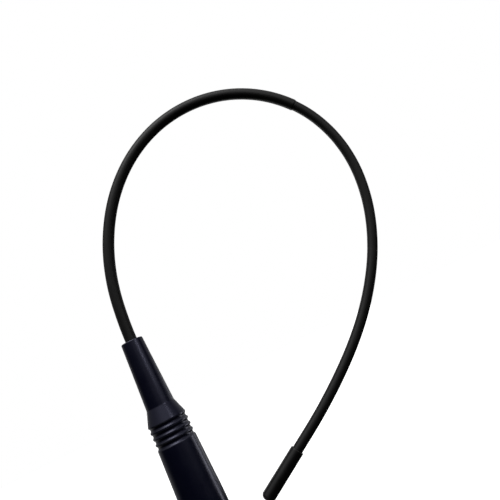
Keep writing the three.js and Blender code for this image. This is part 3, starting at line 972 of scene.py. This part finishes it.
def arc_block(name, outer, start, end, band, steps=28):
    """A cutter round the axis, from inside the collar's bore out to a radius.

    band(share) is how low and how high it reaches at each share of the way round.
    """
    inner = COLLAR_BORE - OVERCUT
    mesh = bmesh.new()
    last = None
    for step in range(steps + 1):
        share = step / steps
        angle = start + share * (end - start)
        low, high = band(share)
        corners = [(inner, low), (outer, low), (outer, high), (inner, high)]
        ring = [mesh.verts.new((r * math.cos(angle), r * math.sin(angle), z)) for r, z in corners]
        if last is None or step == steps:
            mesh.faces.new(ring)
        if last:
            for i in range(4):
                mesh.faces.new((last[i], last[(i + 1) % 4], ring[(i + 1) % 4], ring[i]))
        last = ring
    bmesh.ops.recalc_face_normals(mesh, faces=mesh.faces)
    return placed(name, mesh)


def placed(name, mesh):
    """A new object in the scene, from a mesh that is being built."""
    data = bpy.data.meshes.new(name)
    mesh.to_mesh(data)
    mesh.free()
    piece = bpy.data.objects.new(name, data)
    bpy.context.scene.collection.objects.link(piece)
    return piece


def entry_band(share):
    """How low and how high a lug's way in is, all the way round."""
    return -OVERCUT, CHANNEL_HIGH - CHANNEL_LOW


def ramp_band(share):
    """How low and how high the lug's ramp is at a share of the way round."""
    rise = share * CHANNEL_RISE
    return CHANNEL_LOW + rise, CHANNEL_HIGH + rise


def bayonet_cutters(turn):
    """A lug's way in at the mouth, the ramp that it climbs, and the hole that it drops into."""
    start = turn + CHANNEL_START
    entry = arc_block("entry", CHANNEL_RADIUS, start, turn + CHANNEL_ENTRY_END, entry_band)
    ramp = arc_block("ramp", CHANNEL_RADIUS, start, turn + CHANNEL_END, ramp_band)
    outwards = Vector((math.cos(turn + DETENT_ANGLE), math.sin(turn + DETENT_ANGLE), 0))
    up = Vector((0, 0, 1))
    height = (CHANNEL_LOW + CHANNEL_HIGH) / 2 + CHANNEL_RISE
    low, high = COLLAR_BORE - OVERCUT, COLLAR_RADIUS + OVERCUT
    profile = [(0, low, 0), (DETENT_RADIUS, low, 0), (DETENT_RADIUS, high, 0), (0, high, 0)]
    hole = turned("detent", profile,
                  axis=lambda reach: (reach * outwards + height * up, up, outwards.cross(up)),
                  angles=even_angles(DETENT_SIDES), closed=False)
    return [entry, ramp, hole]


def make_collar():
    """The coupling collar: a V groove and finger flutes outside, and an inner web for its spring."""
    corners = [
        (COLLAR_LIP_BORE, COLLAR_LOW, COLLAR_LIP_FILLET),
        (COLLAR_RADIUS, COLLAR_LOW, HANDLED_FILLET),
        (COLLAR_RADIUS, RING_GROOVE - RING_GROOVE_DEPTH, INNER_FILLET),
        (COLLAR_RADIUS - RING_GROOVE_DEPTH, RING_GROOVE, RING_GROOVE_FILLET),
        (COLLAR_RADIUS, RING_GROOVE + RING_GROOVE_DEPTH, INNER_FILLET),
        (COLLAR_RADIUS, COLLAR_HIGH, HANDLED_FILLET),
        (COLLAR_REAR_BORE, COLLAR_HIGH, INNER_FILLET),
        (COLLAR_REAR_BORE, COLLAR_WEB_HIGH, INNER_FILLET),
        (COLLAR_WEB_BORE, COLLAR_WEB_HIGH, INNER_FILLET),
        (COLLAR_WEB_BORE, COLLAR_WEB_LOW, INNER_FILLET),
        (SPRING_ROOM_RADIUS, COLLAR_WEB_LOW, INNER_FILLET),
        (SPRING_ROOM_RADIUS, SPRING_ROOM_LOW, INNER_FILLET),
        (COLLAR_BORE, SPRING_ROOM_LOW, INNER_FILLET),
        (COLLAR_BORE, COLLAR_LIP_HIGH, INNER_FILLET),
    ]
    profile = rounded(corners, longest=FINE_SLICE)
    collar = turned("knurled_collar", profile, angles=even_angles(COLLAR_SIDES), relief=flutes)
    cut(collar, *bayonet_cutters(0), *bayonet_cutters(math.pi))
    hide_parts("coupling_collar")
    return dress(collar, "nickel_plate", "collar")


def make_connector_body():
    """The turned body that everything in the plug sits in, with the flange that the boot grips."""
    corners = [
        (CONTACT_SEAT_BORE, CONNECTOR_LOW, FITTED_FILLET),
        (CONNECTOR_LIP_RADIUS, CONNECTOR_LOW, TURNED_FILLET),
        (CONNECTOR_LIP_RADIUS, CONNECTOR_LIP_HIGH, INNER_FILLET),
        (CONNECTOR_NECK_RADIUS, CONNECTOR_LIP_HIGH, INNER_FILLET),
        (CONNECTOR_NECK_RADIUS, FLANGE_LOW, INNER_FILLET),
        (FLANGE_RADIUS, FLANGE_LOW, TURNED_FILLET),
        (FLANGE_RADIUS, FLANGE_HIGH, TURNED_FILLET),
        (CONNECTOR_TAIL_RADIUS, FLANGE_HIGH, INNER_FILLET),
        (CONNECTOR_TAIL_RADIUS, CONNECTOR_HIGH, HANDLED_FILLET),
        (INSULATOR_SEAT_BORE, CONNECTOR_HIGH, FITTED_FILLET),
        (INSULATOR_SEAT_BORE, CONTACT_SEAT_HIGH, FITTED_FILLET),
        (CONTACT_SEAT_BORE, CONTACT_SEAT_HIGH, FITTED_FILLET),
    ]
    body = turned("turned_connector_body", rounded(corners, longest=SLICE))
    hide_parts("connector_body")
    return dress(body, "nickel_plate", "boot")


def make_outer_contact():
    """The barrel round the pin, slotted into four spring fingers."""
    corners = [
        (FINGER_BORE, FINGER_LOW, INNER_FILLET),
        (FINGER_RADIUS, FINGER_LOW, FINGER_LEAD_FILLET),
        (FINGER_RADIUS, FINGER_HIGH, INNER_FILLET),
        (CONTACT_ROOT_RADIUS, FINGER_HIGH, INNER_FILLET),
        (CONTACT_ROOT_RADIUS, CONTACT_ROOT_HIGH, INNER_FILLET),
        (CONTACT_ROOT_BORE, CONTACT_ROOT_HIGH, INNER_FILLET),
        (CONTACT_ROOT_BORE, FINGER_HIGH, INNER_FILLET),
        (FINGER_BORE, FINGER_BORE_HIGH, INNER_FILLET),
    ]
    contact = turned("slotted_outer_contact", rounded(corners, longest=FINE_SLICE))
    cut(contact, *[saw_cut(math.radians(angle)) for angle in SLOT_ANGLES])
    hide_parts("outer_contact")
    return dress(contact, "nickel_plate", "boot")


def saw_cut(angle):
    """A cutter for two slots that lie opposite each other, right across the contact's front."""
    size = Matrix.Diagonal((SLOT_LENGTH, SLOT_WIDTH, 2 * SLOT_HIGH, 1))
    mesh = bmesh.new()
    bmesh.ops.create_cube(mesh, size=1, matrix=Matrix.Rotation(angle, 4, "Z") @ size)
    return placed("saw_cut", mesh)


def make_insulator():
    """The white sleeve between the pin and the body, thinner at its nose."""
    corners = [
        (INSULATOR_BORE, INSULATOR_LOW, FITTED_FILLET),
        (INSULATOR_NOSE_RADIUS, INSULATOR_LOW, TURNED_FILLET),
        (INSULATOR_NOSE_RADIUS, INSULATOR_NOSE_HIGH, FITTED_FILLET),
        (INSULATOR_RADIUS, INSULATOR_NOSE_HIGH, FITTED_FILLET),
        (INSULATOR_RADIUS, INSULATOR_HIGH, INNER_FILLET),
        (INSULATOR_BORE, INSULATOR_HIGH, FITTED_FILLET),
    ]
    insulator = turned("turned_insulator", rounded(corners, longest=SLICE))
    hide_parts("insulator")
    return dress(insulator, "white_insulation", "boot")


def make_centre_pin():
    """The pin, with a rounded tip and a wider cup at its rear end for the feed wire."""
    corners = [
        (0, PIN_LOW, SQUARE),
        (PIN_TIP_RADIUS, PIN_LOW, TURNED_FILLET),
        (PIN_RADIUS, PIN_TIP_HIGH, PIN_NOSE_FILLET),
        (PIN_RADIUS, PIN_CUP_LOW, INNER_FILLET),
        (PIN_CUP_RADIUS, PIN_CUP_LOW, INNER_FILLET),
        (PIN_CUP_RADIUS, PIN_HIGH, TURNED_FILLET),
        (0, PIN_HIGH, SQUARE),
    ]
    profile = rounded(corners, closed=False, longest=SLICE)
    pin = turned("gilt_centre_pin", profile, angles=even_angles(WHIP_SIDES), closed=False)
    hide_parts("centre_pin")
    return dress(pin, "gold_plate", "boot")


def flat_ring(name, outer, low, high):
    """A flat ring with eased edges, whose bore clears the plug."""
    corners = [
        (RING_BORE, low, WASHER_FILLET),
        (outer, low, WASHER_FILLET),
        (outer, high, WASHER_FILLET),
        (RING_BORE, high, WASHER_FILLET),
    ]
    profile = rounded(corners, longest=WASHER_SLICE, steps=2)
    return turned(name, profile, angles=even_angles(WASHER_SIDES))


def make_thrust_washer():
    """The washer between the spring and the collar's web, which travels with the collar."""
    low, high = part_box("thrust_washer")
    washer = flat_ring("flat_thrust_washer", high.x, low.z, high.z)
    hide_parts("thrust_washer")
    dress(washer, "spring_steel", "washer")


def make_retaining_ring():
    """The ring that the spring bears on, open on one side so that it can be sprung on."""
    low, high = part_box("retaining_ring")
    ring = flat_ring("open_retaining_ring", high.x, low.z, high.z)
    gap = arc_block("gap", COLLAR_RADIUS, -RING_GAP, RING_GAP,
                    lambda share: (low.z - OVERCUT, high.z + OVERCUT))
    cut(ring, gap)
    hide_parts("retaining_ring")
    dress(ring, "spring_steel", "boot")


def make_wave_spring():
    """The spring that holds the collar back: a ring pressed into waves."""
    low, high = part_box("wave_spring")
    middle = (low.z + high.z) / 2
    swing = (high.z - low.z - SPRING_THICKNESS) / 2
    half = SPRING_THICKNESS / 2
    spring = flat_ring("pressed_wave_spring", high.x, middle - half, middle + half)
    for vertex in spring.data.vertices:
        vertex.co.z += swing * math.cos(SPRING_WAVES * math.atan2(vertex.co.y, vertex.co.x))
    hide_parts("wave_spring")
    dress(spring, "spring_steel", "boot")
    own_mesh(spring)


def make_gasket():
    """The soft ring behind the plug's front lip."""
    corners = [
        (GASKET_BORE, GASKET_LOW, GASKET_FILLET),
        (GASKET_RADIUS, GASKET_LOW, GASKET_FILLET),
        (GASKET_RADIUS, GASKET_HIGH, GASKET_FILLET),
        (GASKET_BORE, GASKET_HIGH, GASKET_FILLET),
    ]
    gasket = turned("moulded_gasket", rounded(corners))
    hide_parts("contact_gasket")
    dress(gasket, "seal_rubber", "boot")


def make_base_seal():
    """An O-ring in the boot's lower face."""
    low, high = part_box("base_seal")
    section = (high.z - low.z) / 2
    ring_radius, middle = high.x - section, (low.z + high.z) / 2
    profile = [
        (ring_radius + section * math.cos(a), middle + section * math.sin(a), 0)
        for a in even_angles(SEAL_SECTION_SIDES)
    ]
    seal = turned("round_base_seal", profile)
    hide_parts("base_seal")
    dress(seal, "seal_rubber", "boot")


def make_plug():
    """The bayonet plug, from the pieces that its own lights shine on to the hidden ones."""
    lit = [make_collar(), make_connector_body(), make_outer_contact(), make_insulator(), make_centre_pin()]
    light_the_plug(lit)
    make_thrust_washer()
    make_retaining_ring()
    make_wave_spring()
    make_gasket()
    make_base_seal()


# ---------------------------------------------------------------- carried-over parts

def dress_cad_nodes():
    """The parts inside the boot, which are the CAD's own shapes."""
    slots = {
        "insulator_nut": "gold_plate",
        "feed_wire": "enamelled_wire",
        "matching_capacitor": "capacitor_ceramic",
        "coil_former": "former_nylon",
        "matching_coil": "enamelled_wire",
        "coil_tail_wire": "enamelled_wire",
        "whip_ferrule": "gold_plate",
    }
    for node, slot in slots.items():
        dress(frame["nodes"][node], slot)


# ---------------------------------------------------------------- assembly

bpy.context.scene.view_settings.view_transform = "Standard"
make_camera()
make_world()
make_lights()
make_floor()
light_the_boot(make_boot())
make_whip()
make_sleeve_end()
make_tip_cap()
make_plug()
dress_cad_nodes()
